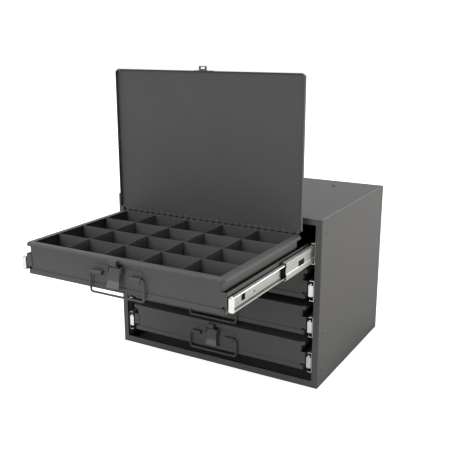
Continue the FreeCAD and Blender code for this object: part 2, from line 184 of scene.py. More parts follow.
def finishedMesh(name, mesh, material, edge=0.0, sharp=shading["sharp"], cuts=None):
    outwardFaces(mesh)
    mesh.materials.clear()
    mesh.materials.append(material)
    piece = linked(name, mesh)
    if cuts:
        cutter = linked(name + "Cut", cuts.mesh(name + "Cut"))
        outwardFaces(cutter.data)
        cut = piece.modifiers.new("Cut", "BOOLEAN")
        cut.operation = "DIFFERENCE"
        cut.solver = "EXACT"
        cut.object = cutter
        baked(piece)
        bpy.data.objects.remove(cutter)
    if edge > 0:
        bevel = piece.modifiers.new("Bevel", "BEVEL")
        bevel.width = edge * mm
        bevel.segments = shading["bevelSegments"]
        bevel.limit_method = "ANGLE"
        bevel.angle_limit = math.radians(shading["bevelFrom"])
        baked(piece)
    smoothed(piece.data, sharp)
    return piece


def softenedNode(node, material, edge, keep=None):  # a CAD node's shape with rounded edges
    work = bmesh.new()
    work.from_mesh(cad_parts[node].data)
    bmesh.ops.remove_doubles(work, verts=work.verts, dist=nodeWeld)
    if keep:
        loose = [vert for island in islands(work) if not keep(island) for vert in island]
        bmesh.ops.delete(work, geom=loose, context="VERTS")
    flat = math.radians(shading["flatWithin"])
    bmesh.ops.dissolve_limit(work, angle_limit=flat, verts=work.verts, edges=work.edges)
    mesh = bpy.data.meshes.new(node + "Softened")
    work.to_mesh(mesh)
    work.free()
    return finishedMesh(node + "Softened", mesh, material, edge)


def islands(work):  # the vertices of each separate shell
    seen = set()
    groups = []
    for start in work.verts:
        if start in seen:
            continue
        seen.add(start)
        group = [start]
        for vert in group:
            for edge in vert.link_edges:
                other = edge.other_vert(vert)
                if other not in seen:
                    seen.add(other)
                    group.append(other)
        groups.append(group)
    return groups


def wireMesh(name, points, radius, material, sides=4):
    curve = bpy.data.curves.new(name, "CURVE")
    curve.dimensions = "3D"
    curve.bevel_depth = radius * mm
    curve.bevel_resolution = sides
    curve.use_fill_caps = True
    spline = curve.splines.new("POLY")
    spline.points.add(len(points) - 1)
    for target, point in zip(spline.points, points):
        target.co = (point[0] * mm, point[1] * mm, point[2] * mm, 1)
    piece = linked(name, curve)
    mesh = evaluatedMesh(piece)
    bpy.data.objects.remove(piece)
    bpy.data.curves.remove(curve)
    return finishedMesh(name, mesh, material, sharp=shading["sharpWire"])


def mirroredPiece(piece, name):
    mesh = piece.data.copy()
    mesh.transform(Matrix.Scale(-1, 4, (1, 0, 0)))
    outwardFaces(mesh)
    mesh.set_sharp_from_angle(angle=math.radians(shading["sharp"]))
    return linked(name, mesh)


def evenShading(piece):  # keeps flat faces flat beside rounded edges
    weighted = piece.modifiers.new("Weighted", "WEIGHTED_NORMAL")
    weighted.keep_sharp = True
    return baked(piece)


def repaint(piece, material, test):  # gives the faces that pass the test another material
    piece.data.materials.append(material)
    index = len(piece.data.materials) - 1
    for face in piece.data.polygons:
        if test(face.center / mm, face.normal):
            face.material_index = index
    return piece


def joinedPieces(name, pieces):
    materials = []
    work = bmesh.new()
    for piece in pieces:
        start = len(work.faces)
        work.from_mesh(piece.data)
        places = []
        for material in piece.data.materials:
            if material not in materials:
                materials.append(material)
            places.append(materials.index(material))
        work.faces.ensure_lookup_table()
        for face in work.faces[start:]:
            face.material_index = places[face.material_index]
    mesh = bpy.data.meshes.new(name)
    work.to_mesh(mesh)
    work.free()
    for material in materials:
        mesh.materials.append(material)
    for piece in pieces:
        bpy.data.objects.remove(piece)
    return linked(name, mesh)


def madeTogether(name, parts, edge):  # one painted piece out of several bent sheets
    pieces = [part.make(f"{name}Part{index}", charcoal, edge) for index, part in enumerate(parts)]
    return joinedPieces(name, pieces)


# Geometry Nodes

class Tree:  # one Geometry Nodes tree, with named inputs for its sizes
    def __init__(self, name):
        self.group = bpy.data.node_groups.new(name, "GeometryNodeTree")
        self.sockets = {}
        self.addSocket("Geometry", "NodeSocketGeometry", "INPUT")
        self.addSocket("Geometry", "NodeSocketGeometry", "OUTPUT")
        self.source = self.group.nodes.new("NodeGroupInput")
        self.target = self.group.nodes.new("NodeGroupOutput")

    def addSocket(self, name, kind, direction):
        return self.group.interface.new_socket(name=name, in_out=direction, socket_type=kind)

    def size(self, name, value, kind="NodeSocketFloat"):
        socket = self.addSocket(name, kind, "INPUT")
        self.sockets[name] = (socket.identifier, value)
        return self.source.outputs[name]

    def add(self, kind, settings=None, sockets=None, output=0):
        node = self.group.nodes.new(kind)
        for key, value in (settings or {}).items():
            setattr(node, key, value)
        for key, value in (sockets or {}).items():
            if isinstance(value, bpy.types.NodeSocket):
                self.group.links.new(value, node.inputs[key])
            else:
                node.inputs[key].default_value = value
        return node.outputs[output]

    def joined(self, *parts):
        node = self.group.nodes.new("GeometryNodeJoinGeometry")
        for part in parts:
            self.group.links.new(part, node.inputs[0])
        return node.outputs[0]

    def row(self, count, start, step, shape, scale=(1, 1, 1)):  # copies of a shape along a line
        line = self.add("GeometryNodeMeshLine", sockets={
            "Count": count, "Start Location": Vector(start) * mm, "Offset": [size * mm for size in step],
        })
        sockets = {"Points": line, "Instance": shape, "Scale": scale}
        return self.add("GeometryNodeInstanceOnPoints", sockets=sockets)

    def make(self, name, geometry, material):
        solid = self.add("GeometryNodeRealizeInstances", sockets={"Geometry": geometry})
        painted = self.add("GeometryNodeSetMaterial", sockets={"Geometry": solid, "Material": material})
        self.group.links.new(painted, self.target.inputs[0])
        piece = linked(name, bpy.data.meshes.new(name))
        modifier = piece.modifiers.new("Repeat", "NODES")
        modifier.node_group = self.group
        for identifier, value in self.sockets.values():
            modifier[identifier] = value
        baked(piece)
        bpy.data.node_groups.remove(self.group)
        smoothed(piece.data, shading["sharpRepeats"])
        return piece


# Materials

class Wire:  # a value in a material, so that sums on it are written as Python
    def __init__(self, finish, socket):
        self.finish = finish
        self.socket = socket

    def maths(self, operation, first, second):
        return self.finish.add("ShaderNodeMath", {"operation": operation}, {0: first, 1: second})

    def __add__(self, other):
        return self.maths("ADD", self, other)

    def __radd__(self, other):
        return self.maths("ADD", other, self)

    def __mul__(self, other):
        return self.maths("MULTIPLY", self, other)

    def __rmul__(self, other):
        return self.maths("MULTIPLY", other, self)


class Finish:  # one material and its nodes
    def __init__(self, name):
        self.material = bpy.data.materials.new(name)
        self.material.use_nodes = True
        self.tree = self.material.node_tree
        self.shader = self.tree.nodes["Principled BSDF"]
        self.place = self.add("ShaderNodeTexCoord", output="Object")

    def add(self, kind, settings=None, sockets=None, output=0):
        node = self.tree.nodes.new(kind)
        for key, value in (settings or {}).items():
            setattr(node, key, value)
        for key, value in (sockets or {}).items():
            self.plug(node.inputs[key], value)
        return Wire(self, node.outputs[output])

    def plug(self, socket, value):
        if isinstance(value, Wire):
            self.tree.links.new(value.socket, socket)
        else:
            socket.default_value = value

    def stretched(self, scale):
        return self.add("ShaderNodeMapping", sockets={"Vector": self.place, "Scale": scale})

    def noise(self, scale, detail, place=None):
        sockets = {"Vector": place or self.place, "Scale": scale, "Detail": detail}
        return self.add("ShaderNodeTexNoise", sockets=sockets)

    def blended(self, share, first, second):  # sockets 6 and 7 take the colours
        return self.add("ShaderNodeMix", {"data_type": "RGBA"}, {0: share, 6: first, 7: second}, output=2)

    def shades(self, share, colour, factors):
        low, high = (tuple(channel * factor for channel in colour[:3]) + (1,) for factor in factors)
        return self.blended(share, low, high)

    def bump(self, height, distance, strength, normal=None):
        sockets = {"Height": height, "Distance": distance, "Strength": strength}
        if normal:
            sockets["Normal"] = normal
        return self.add("ShaderNodeBump", sockets=sockets)

    def set(self, **values):
        for name, value in values.items():
            self.plug(self.shader.inputs[name.replace("_", " ")], value)
        return self.material


def between(ends, share):  # from the first value to the second as the share goes from 0 to 1
    return ends[0] + (ends[1] - ends[0]) * share


# Noises have a scale and a detail, reliefs a height and a strength
powderCoat = {
    # The second colour is a lighter paint for the latch lever's finger tab.
    # The third colour is a painted highlight for the cabinet's top bends.
    "colour": (0.088, 0.087, 0.086, 1), "lighterTab": (0.15, 0.15, 0.152, 1), "bend": (0.19, 0.189, 0.186, 1),
    "shades": (0.95, 1.05), "tone": (9.0, 3.0), "toneRange": (0.3, 0.7),
    "peel": (520.0, 2.0), "peelRelief": (0.00002, 0.7), "speckle": (1400.0, 1.0),
    "speckleRelief": (0.000007, 0.5), "roughness": (0.52, 0.6), "specular": 0.3,
}
zincPlate = {
    # The second colour is a painted highlight for the slides' bright faces and front ends.
    "plate": ((0.42, 0.424, 0.395, 1), 0.55), "edge": ((0.94, 0.945, 0.93, 1), 1.0),
    "wire": ((0.35, 0.35, 0.35, 1), 0.9), "shades": (0.92, 1.06), "lines": (900.0, 2.0),
    "lineStretch": (1.0, 0.02, 1.0), "lineRelief": (0.000004, 0.5), "clouds": (60.0, 3.0),
    "roughness": (0.31, 0.41),
}
mouldedPlastic = {
    "colour": (0.008, 0.008, 0.009, 1), "shades": (0.85, 1.2), "grain": (1500.0, 2.0),
    "stretch": (1.0, 1.0, 1.0), "relief": (0.00001, 0.4), "roughness": (0.55, 0.65), "specular": 0.04,
}
# A near-black colour painted into the hollows of the slide channels as shade.
paintedChannelShade = {
    "colour": (0.03, 0.03, 0.028, 1), "shades": (0.7, 1.4), "grain": (220.0, 4.0),
    "stretch": (1.0, 0.1, 1.0), "relief": (0.00003, 0.5), "roughness": (0.3, 0.55), "specular": 0.1,
}
polishedSteel = {
    "colours": ((0.62, 0.62, 0.63, 1), (0.72, 0.72, 0.73, 1)), "clouds": (400.0, 2.0),
    "roughness": (0.12, 0.18),
}


def powderCoatFinish(name, colour):
    finish = Finish(name)
    tone = finish.noise(*powderCoat["tone"])
    low, high = powderCoat["toneRange"]
    share = finish.add("ShaderNodeMapRange", sockets={"Value": tone, "From Min": low, "From Max": high})
    base = finish.shades(share, colour, powderCoat["shades"])
    fine = finish.bump(finish.noise(*powderCoat["speckle"]), *powderCoat["speckleRelief"])
    normal = finish.bump(finish.noise(*powderCoat["peel"]), *powderCoat["peelRelief"], fine)
    roughness = between(powderCoat["roughness"], tone)
    specular = powderCoat["specular"]
    return finish.set(Base_Color=base, Roughness=roughness, Normal=normal, Specular_IOR_Level=specular)


def zincFinish(name, colour, metallic):  # rolled strip, with faint lines along its length
    finish = Finish(name)
    lines = finish.noise(*zincPlate["lines"], finish.stretched(zincPlate["lineStretch"]))
    base = finish.shades(lines, colour, zincPlate["shades"])
    roughness = between(zincPlate["roughness"], finish.noise(*zincPlate["clouds"]))
    normal = finish.bump(lines, *zincPlate["lineRelief"])
    return finish.set(Base_Color=base, Roughness=roughness, Metallic=metallic, Normal=normal)


def grainyFinish(name, look):  # one noise gives the shade, the relief and the roughness
    finish = Finish(name)
    grain = finish.noise(*look["grain"], finish.stretched(look["stretch"]))
    base = finish.shades(grain, look["colour"], look["shades"])
    normal = finish.bump(grain, *look["relief"])
    roughness = between(look["roughness"], grain)
    specular = look["specular"]
    return finish.set(Base_Color=base, Roughness=roughness, Normal=normal, Specular_IOR_Level=specular)


def ballFinish(name):
    finish = Finish(name)
    cloud = finish.noise(*polishedSteel["clouds"])
    base = finish.blended(cloud, *polishedSteel["colours"])
    return finish.set(Base_Color=base, Roughness=between(polishedSteel["roughness"], cloud), Metallic=1.0)


charcoal = powderCoatFinish("charcoalPowderCoat", powderCoat["colour"])
lighterTabCharcoal = powderCoatFinish("lighterTabCharcoalPowderCoat", powderCoat["lighterTab"])
bendHighlightCharcoal = powderCoatFinish("bendHighlightCharcoalPowderCoat", powderCoat["bend"])
zinc = zincFinish("zincPlate", *zincPlate["plate"])
# painted highlight for the slides
zincHighlight = zincFinish("zincPaintedHighlight", *zincPlate["edge"])
# painted shade for the insides of the slide channels
channelShade = grainyFinish("channelShadedTrack", paintedChannelShade)
darkWire = zincFinish("hingeWire", *zincPlate["wire"])
cagePlastic = grainyFinish("cagePlastic", mouldedPlastic)
ballSteel = ballFinish("ballSteel")
print("materials made")


# Placing

def levelPlace(level, share=1.0):
    y = -rack["travel"] * share if level == rack["openLevel"] else 0.0
    z = rack["firstCarrier"] + rack["pitch"] * (level - 1)
    return Matrix.Translation((0, y * mm, z * mm))


def turnAbout(y, z, angle):
    there = Matrix.Translation((0, y * mm, z * mm))
    return there @ Matrix.Rotation(math.radians(angle), 4, "X") @ there.inverted()


def copyAt(piece, name, matrix):
    mesh = piece.data.copy()
    mesh.transform(matrix)
    return linked(name, mesh)


def atEveryLevel(piece, name, body, nodes=(), share=1.0, openTurn=None):
    evenShading(piece)
    for level in rack["levels"]:
        matrix = levelPlace(level, share)
        if openTurn and level == rack["openLevel"]:
            matrix = matrix @ openTurn
        copy = copyAt(piece, f"{name}_{level}", matrix)
        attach(copy, f"{body}_{level}")
        for node in nodes:
            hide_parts(f"{node}_{level}")
    bpy.data.objects.remove(piece)


def softenedAtEveryLevel(node, name, body, material, edge, keep=None):
    for level in rack["levels"]:
        piece = softenedNode(f"{node}_{level}", material, edge, keep)
        piece.name = name.format(level)
        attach(piece, f"{body}_{level}")
        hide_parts(f"{node}_{level}")


def onCabinet(piece, slot, *nodes):
    evenShading(piece)
    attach(piece, "cabinet")
    if nodes:
        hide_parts(*nodes)


lidTurn = turnAbout(hinge["y"], hinge["z"], -hinge["openAngle"])
leverTurn = turnAbout(rack["frontFace"] - pivot["reach"], pivot["z"], -pivot["openAngle"])


# Cabinet

cabinet = {
    "halfWidth": 262.5, "height": 381.0, "front": -200.0, "seam": 181.7, "back": 200.0, "sheet": 1.2,
    "bend": 2.2, "sideFlange": 14.0, "flangeBend": 1.4, "backBend": 1.6, "backSeam": 182.0,
    "backFlange": 30.0, "joggle": (180.5, 198.8), "stackHole": (156.0, 131.0, 5.5),
    "sideHole": (-178.0, 2.0, (35.3, 122.4, 347.3)), "drillReach": 5, "paleBand": 2.6,
    "paleTilt": (0.3, 0.95), "edge": 0.15, "panEdge": 0.5,
}


# Stations round the cabinet's outline, up the left side, over the top and down the right. Each gives the
# point that lies a distance inside the outline, so that bends stay round and flanges meet in a mitre.
def outlineStations(steps=5):
    half = cabinet["halfWidth"]
    top = cabinet["height"]
    bend = cabinet["bend"]
    stations = [lambda inset: (-half + inset, 0.0)]
    for side in (-1, 1):
        for step in range(steps + 1):
            share = step / steps if side < 0 else 1 - step / steps
            angle = math.radians(90 * share)
            stations.append(cornerStation(side, half, top, bend, angle))
    stations.append(lambda inset: (half - inset, 0.0))
    return stations


def cornerStation(side, half, top, bend, angle):
    def place(inset):
        square = max(inset, bend)
        rest = max(bend - inset, 0.0)
        return (side * (half - square + rest * math.cos(angle)), top - square + rest * math.sin(angle))
    return place


def roundCabinet(section):  # section is (y, distance inside the outline)
    rings = []
    for place in outlineStations():
        rings.append([(place(inset)[0], y, place(inset)[1]) for y, inset in section])
    return Piece().rings(rings)


def drilled(circleX, circleY, radius, axis, start, end, sides=32):
    outline = arcPoints((circleX, circleY), radius, 0, 360 - 360 / sides, sides - 1)
    return getattr(Piece(), axis)(outline, start, end)


def mergedCuts(parts):
    whole = Piece()
    for part in parts:
        first = len(whole.vertices)
        whole.vertices += part.vertices
        whole.faces += [tuple(first + index for index in face) for face in part.faces]
    return whole


def isTopBendHighlight(place, normal):  # painted highlight: the bends along the top get a lighter paint for the light they catch
    low, high = cabinet["paleTilt"]
    return place.z > cabinet["height"] - cabinet["paleBand"] and low < normal.z < high


def makeCabinet():
    sheet = cabinet["sheet"]
    front = cabinet["front"]
    top = cabinet["height"]
    half = cabinet["halfWidth"]
    middle = sheet / 2
    line = [(cabinet["seam"], middle), (front + middle, middle), (front + middle, cabinet["sideFlange"])]
    section = sheetSection(line, sheet, cabinet["flangeBend"])
    holeX, holeY, holeRadius = cabinet["stackHole"]
    sideY, sideRadius, sideHeights = cabinet["sideHole"]
    drill = cabinet["drillReach"]
    cuts = [drilled(x, y, holeRadius, "alongZ", top - drill, top + drill)
            for x in (-holeX, holeX) for y in (-holeY, holeY)]
    for height in sideHeights:
        for wall in (half, -half):
            cuts.append(drilled(sideY, height, sideRadius, "alongX", wall - drill, wall + drill, 16))
    cuts = mergedCuts(cuts)
    shell = roundCabinet(section).make("cabinetShell", charcoal, edge=cabinet["edge"], cuts=cuts)
    # painted highlight on the bends along the top
    repaint(shell, bendHighlightCharcoal, isTopBendHighlight)
    onCabinet(shell, "charcoal_paint", "cabinet_shell")

    joggle = Piece()
    start, end = cabinet["joggle"]
    inner = half - sheet
    joggle.block(-inner, inner, start, end, top - 2 * sheet, top - sheet)
    for side in (-1, 1):
        edges = sorted((side * inner, side * (inner - sheet)))
        joggle.block(edges[0], edges[1], start, end, sheet, top - sheet)
    onCabinet(joggle.make("cabinetJoggle", charcoal), "charcoal_paint")

    back = cabinet["back"]
    flange = cabinet["backFlange"]
    line = [(cabinet["backSeam"], middle), (back - middle, middle), (back - middle, flange)]
    rim = roundCabinet(sheetSection(line, sheet, cabinet["backBend"]))
    rim = rim.make("cabinetBackRim", charcoal, edge=cabinet["edge"])
    panel = Piece().block(-half + flange, half - flange, back - sheet, back, 0, top - flange)
    panel = panel.make("cabinetBackPanel", charcoal)
    onCabinet(joinedPieces("cabinetBack", [rim, panel]), "charcoal_paint", "cabinet_back")

    bottom = softenedNode("cabinet_bottom", charcoal, edge=cabinet["panEdge"])
    onCabinet(bottom, "charcoal_paint", "cabinet_bottom")
    print("cabinet made")


makeCabinet()


# Slides, with depths measured inward from the post's web

slide = {
    "web": 247.0, "sheet": 1.2, "edge": 0.12,
    "outerEnds": (-195.5, 154.5),
    "outerLine": [(9.6, 20.2), (9.6, 22.4), (0.6, 22.4), (0.6, -22.4), (9.6, -22.4), (9.6, -20.2)],
    "outerBends": [0, 1.0, 2.0, 2.0, 1.0, 0],
    "outerInside": (1.1, 21.9),
    "middleEnds": (-160.5, 159.5),
    "middleLine": [(10.8, 17.9), (2.8, 17.9), (2.8, 8.2), (4.2, 6.8), (4.2, -4.6), (2.8, -6.0), (2.8, -17.9),
                   (10.8, -17.9)],
    "middleBends": [0, 1.6, 0.8, 0.8, 0.8, 0.8, 1.6, 0],
    "middleInside": (3.2, 17.4),
    "middleShoulder": (-6.2, -4.4),
    "middleFlange": 18.2,
    "middleSlot": (-101.5, -73.5, 5.4, 4.2),
    "innerEnds": (-195.9, 153.0),
    "innerLine": [(5.2, 12.2), (5.2, 13.4), (9.0, 13.4), (12.1, 13.4), (12.1, 10.4), (11.5, 9.2), (12.1, 8.0),
                  (12.1, -8.0), (11.5, -9.2), (12.1, -10.4), (12.1, -13.4), (9.0, -13.4), (5.2, -13.4),
                  (5.2, -12.2)],
    "innerBends": [0, 0.7, 0, 1.4, 0.6, 0.6, 0.6, 0.6, 0.6, 0.6, 1.4, 0, 0.7, 0],
    "innerFlange": (13.3, 6.0),
    "innerSlot": (-153.5, -139.5, 6.0, 12.1),
    "innerHole": (-105.0, -3.0, 2.2),
    "holeReach": (9, 15),
    "trackDepths": ((5.6, 7.4), (10.6, 11.9)),
    "trackHeights": (11.8, 13.3),
    "slotCorner": 1.2, "slotReach": 2.5, "webBand": 2.5,
    "tabDepths": (2.0, 12.7), "tabHalf": 12.5, "tabCorner": 1.5, "tabEnds": (-196.5, -195.3), "tabEdge": 0.3,
    "screws": (-175.0, 125.0), "screwHead": 3.7, "screwReach": (-1, 3),
}
# Depths, ends and heights off the slide's middle
slideBlocks = {
    "innerNub": ((5.5, 9.5), (-195.9, -194.0), (13.6, 16.2)),
    # painted shade: the next two are near-black plates put behind the slots of the inner and middle members
    "innerSlotShade": ((13.6, 14.6), (-156.0, -100.0), (-7.4, 7.4)),
    "middleSlotShade": ((5.2, 6.0), (-105.0, -70.0), (-7.4, 7.4)),
}


def slideBlock(name, material, edge=0.0):
    depths, ends, heights = slideBlocks[name]
    shallow, deep = (slide["web"] - depth for depth in depths)
    return Piece().block(deep, shallow, *ends, *heights).make(name, material, edge)


def railPiece(line, bend, ends, name, cuts=None):
    section = sheetSection(line, slide["sheet"], bend)
    outline = [(slide["web"] - depth, height) for depth, height in section]
    return Piece().alongY(outline, *ends).make(name, zinc, edge=slide["edge"], cuts=cuts)


def throughWeb(outline, shallow, deep):  # from one depth to another, on the right side
    return Piece().alongX(outline, slide["web"] - deep, slide["web"] - shallow)


def webCut(y0, y1, half, depth):
    outline = roundedCorners([(y0, -half), (y1, -half), (y1, half), (y0, half)], slide["slotCorner"])
    return throughWeb(outline, depth - slide["slotReach"], depth + slide["slotReach"])


def pairAtEveryLevel(piece, name, body, nodes=(), share=1.0):  # a slide's part, right and left
    piece.data.transform(Matrix.Translation((0, 0, rack["slideMiddle"] * mm)))
    pair = joinedPieces(name, [piece, mirroredPiece(piece, name + "Left")])
    atEveryLevel(pair, name, body, nodes, share)


def isInside(place, normal, depth, height):  # painted shade goes on a face on the hollow side of a channel
    faceDepth = slide["web"] - place.x
    onWeb = normal.x < -0.6 and faceDepth < depth + slide["webBand"]
    onFlange = normal.z * place.z < 0 and abs(place.z) < height and faceDepth > depth
    return onWeb or onFlange


def isTrackEdge(place, normal):  # painted shade: the two dark lines beside the inner member's ball track
    faceDepth = slide["web"] - place.x
    beside = any(low < faceDepth < high for low, high in slide["trackDepths"])
    low, high = slide["trackHeights"]
    return normal.z * place.z < 0 and low < abs(place.z) < high and beside


def isMiddleHighlight(place, normal):  # painted highlight: the flanges' outsides and the rolled shoulder
    low, high = slide["middleShoulder"]
    return abs(place.z) > slide["middleFlange"] or low < place.z < high


def isInnerHighlight(place, normal):  # painted highlight: the flanges' outsides and their free edges
    height, depth = slide["innerFlange"]
    return abs(place.z) > height or slide["web"] - place.x < depth


def makeSlides():
    web = slide["web"]
    low, high = slide["screwReach"]
    screwCuts = mergedCuts([
        drilled(y, 0, slide["screwHead"], "alongX", web - high, web - low, sides=24) for y in slide["screws"]
    ])
    outer = railPiece(slide["outerLine"], slide["outerBends"], slide["outerEnds"], "outerRail", screwCuts)
    # painted shade inside the channel
    repaint(outer, channelShade, lambda place, normal: isInside(place, normal, *slide["outerInside"]))
    # painted highlight on the rail's front ends
    repaint(outer, zincHighlight, lambda place, normal: normal.y < -0.9)

    middleCut = webCut(*slide["middleSlot"])
    line, bends = slide["middleLine"], slide["middleBends"]
    middle = railPiece(line, bends, slide["middleEnds"], "middleRail", middleCut)
    # painted highlight on the flanges and the shoulder
    repaint(middle, zincHighlight, isMiddleHighlight)
    # painted shade inside the channel
    repaint(middle, channelShade, lambda place, normal: isInside(place, normal, *slide["middleInside"]))

    low, high = slide["holeReach"]
    innerHole = drilled(*slide["innerHole"], "alongX", web - high, web - low, sides=20)
    innerCut = mergedCuts([webCut(*slide["innerSlot"]), innerHole])
    inner = railPiece(slide["innerLine"], slide["innerBends"], slide["innerEnds"], "innerRail", innerCut)
    # painted highlight on the flanges and their free edges
    repaint(inner, zincHighlight, isInnerHighlight)
    # painted shade beside the ball track
    repaint(inner, channelShade, isTrackEdge)
    outside, inside = (web - depth for depth in slide["tabDepths"])
    half = slide["tabHalf"]
    corners = [(inside, -half), (outside, -half), (outside, half), (inside, half)]
    tab = Piece().alongY(roundedCorners(corners, slide["tabCorner"]), *slide["tabEnds"])
    # the front tab and the nub are painted wholly in the highlight colour
    tab = tab.make("innerTab", zincHighlight, edge=slide["tabEdge"])
    nub = slideBlock("innerNub", zincHighlight, edge=2 * slide["tabEdge"])
    inner = joinedPieces("innerRailWithTab", [inner, tab, nub])

    for side in ("right", "left"):
        rails = []
        for level in rack["levels"]:
            height = rack["firstCarrier"] + rack["pitch"] * (level - 1) + rack["slideMiddle"]
            rails.append(copyAt(outer, f"outerRail_{level}", Matrix.Translation((0, 0, height * mm))))
        rail = joinedPieces(f"outerRails_{side}", rails)
        if side == "left":
            flipped = mirroredPiece(rail, "outerRailsMirrored")
            bpy.data.objects.remove(rail)
            rail = flipped
        onCabinet(rail, "zinc_steel", f"slide_outer_{side}")
    bpy.data.objects.remove(outer)

    # a near-black plate behind the inner member's slot and hole paints shade in them
    slotShade = slideBlock("innerSlotShade", cagePlastic)
    pairAtEveryLevel(slotShade, "innerSlotShades", "drawer")
    pairAtEveryLevel(middle, "middleRails", "middle", ("slide_middle",), 0.5)
    pairAtEveryLevel(inner, "innerRails", "drawer", ("slide_inner",))
    print("slides made")


# Each ball row has its depth, its height off the slide's middle, its first ball and its pitch
balls = {
    "radius": 1.5875, "count": 4, "rows": ((6.2, 20.15, 6.0, 26.0), (7.3, 15.65, -150.0, 24.667)),
    "cageLength": 20.0, "cageEdge": 0.15, "noseEnds": (-168.0, -157.0), "noseHalf": 11.2,
    "noseDepths": (7.2, 10.6), "noseCorners": [3.0, 0, 0, 3.0], "noseEdge": 0.3,
}


def makeBallRows():
    web = slide["web"]
    parts = []
    tree = Tree("slideBalls")
    radius = tree.size("Radius", balls["radius"] * mm)
    count = tree.size("Count", balls["count"], "NodeSocketInt")
    sphere = tree.add("GeometryNodeMeshUVSphere", sockets={"Segments": 20, "Rings": 12, "Radius": radius})
    for depth, row, start, pitch in balls["rows"]:
        for side in (-1, 1):
            for end in (-1, 1):
                place = (side * (web - depth), start, end * row + rack["slideMiddle"])
                parts.append(tree.row(count, place, (0, pitch, 0), sphere))
    rows = tree.make("slideBalls", tree.joined(*parts), ballSteel)
    atEveryLevel(rows, "slideBalls", "middle", (), 0.5)

    def isCage(island):
        ys = [vert.co.y for vert in island]
        return max(ys) - min(ys) > balls["cageLength"] * mm

    start, end = balls["noseEnds"]
    half = balls["noseHalf"]
    corners = [(start, -half), (end, -half), (end, half), (start, half)]
    nose = throughWeb(roundedCorners(corners, balls["noseCorners"]), *balls["noseDepths"])
    nose = nose.make("cageNose", cagePlastic, edge=balls["noseEdge"])
    # with a near-black plate behind the middle member's slot, which paints shade in it
    nose = joinedPieces("cageNoseAndSlotShade", [nose, slideBlock("middleSlotShade", cagePlastic)])
    pairAtEveryLevel(nose, "cageNoses", "middle", (), 0.5)

    edge = balls["cageEdge"]
    softenedAtEveryLevel("ball_cages", "ballCages_{}", "middle", cagePlastic, edge, isCage)
    print("ball rows made")


makeSlides()
makeBallRows()


# Carriers

carrier = {
    "half": 227.0, "side": 231.2, "ledge": 15.5, "top": 42.0, "back": 150.0, "front": -196.5, "lip": 11.0,
    "sheet": 1.2, "sideBend": 1.0, "lipBend": 1.2, "tab": 217.5, "backGap": 1.8, "sideGap": 1.4,
    "pads": (-180.0, -20.0, 120.0), "padLength": 24, "padHeights": (16, 25), "padDepth": 12.7,
    "padCorner": 2.0, "tabGap": 0.2, "cheekFrom": 1.5, "edge": 0.2,
}


def makeCarriers():
    sheet = carrier["sheet"]
    bend = carrier["lipBend"]
    middle = sheet / 2
    start = carrier["front"] + sheet + middle
    end = carrier["back"] - carrier["backGap"]
    low = carrier["half"] - middle
    high = carrier["side"] - middle
    step = carrier["ledge"] - middle
    right = [(low, middle), (low, step), (high, step), (high, carrier["top"])]
    left = [(-x, z) for x, z in reversed(right)]
    parts = [Piece().alongY(sheetSection(left + right, sheet, carrier["sideBend"]), start, end)]
    for outside, inside in ((carrier["front"] + middle, start), (carrier["back"] - middle, end)):
        lip = sheetSection([(inside, middle), (outside, middle), (outside, carrier["lip"])], sheet, bend)
        reachX = carrier["half"] - carrier["sideGap"]
        parts.append(Piece().alongX(lip, -reachX, reachX))
    front = carrier["front"] + middle
    bottom, top = carrier["padHeights"]
    for side in (-1, 1):
        corner = [(side * carrier["tab"], front), (side * high, front), (side * high, start)]
        section = sheetSection(corner, sheet, bend)
        parts.append(Piece().alongZ(section, carrier["ledge"] + carrier["tabGap"], carrier["top"]))
        edges = sorted((side * (low - middle), side * carrier["half"]))
        heights = (carrier["cheekFrom"], carrier["ledge"])
        parts.append(Piece().block(*edges, front + middle, start, *heights))
        for y in carrier["pads"]:
            far = y + carrier["padLength"]
            pad = [(y, bottom), (far, bottom), (far, top), (y, top)]
            edges = sorted((side * carrier["side"], side * (slide["web"] - carrier["padDepth"])))
            parts.append(Piece().alongX(roundedCorners(pad, carrier["padCorner"]), *edges))
    whole = madeTogether("carrier", parts, carrier["edge"])
    atEveryLevel(whole, "carrier", "drawer", ("carrier",))
    print("carriers made")


makeCarriers()


# Boxes

box = {
    "half": 221.5, "front": -195.2, "back": 109.8, "bottom": 1.2, "top": 66.6, "sheet": 0.9, "corner": 3.0,
    "rimHalf": 228.6, "rimFront": -200.7, "rimBack": 117.3, "rimBottom": 59.5, "rimCorner": 6.0, "roll": 4.5,
    "lip": 7.4, "leastCorner": 0.4, "rimBulge": 0.25, "dividerEdge": 0.2,
}


# Insets are measured inward from the outside of the body or of the rim
def boxRing(inset, z, onRim, backInset=None, steps=5):
    half = (box["rimHalf"] if onRim else box["half"]) - inset
    front = (box["rimFront"] if onRim else box["front"]) + inset
    back = (box["rimBack"] if onRim else box["back"]) - (inset if backInset is None else backInset)
    corner = max((box["rimCorner"] if onRim else box["corner"]) - inset, box["leastCorner"])
    bulge = box["rimBulge"] if onRim else 1.0  # the rim's corners are nearly flat cuts
    points = []
    corners = (((half, front), 270), ((half, back), 0), ((-half, back), 90), ((-half, front), 180))
    for (x, y), start in corners:
        centre = (x - math.copysign(corner, x), y + corner if y < 0 else y - corner)
        arc = arcPoints(centre, corner, start, start + 90, steps)
        for index, point in enumerate(arc):
            straight = arc[0].lerp(arc[-1], index / steps)
            flat = straight.lerp(point, bulge)
            points.append((flat.x, flat.y, z))
    return points


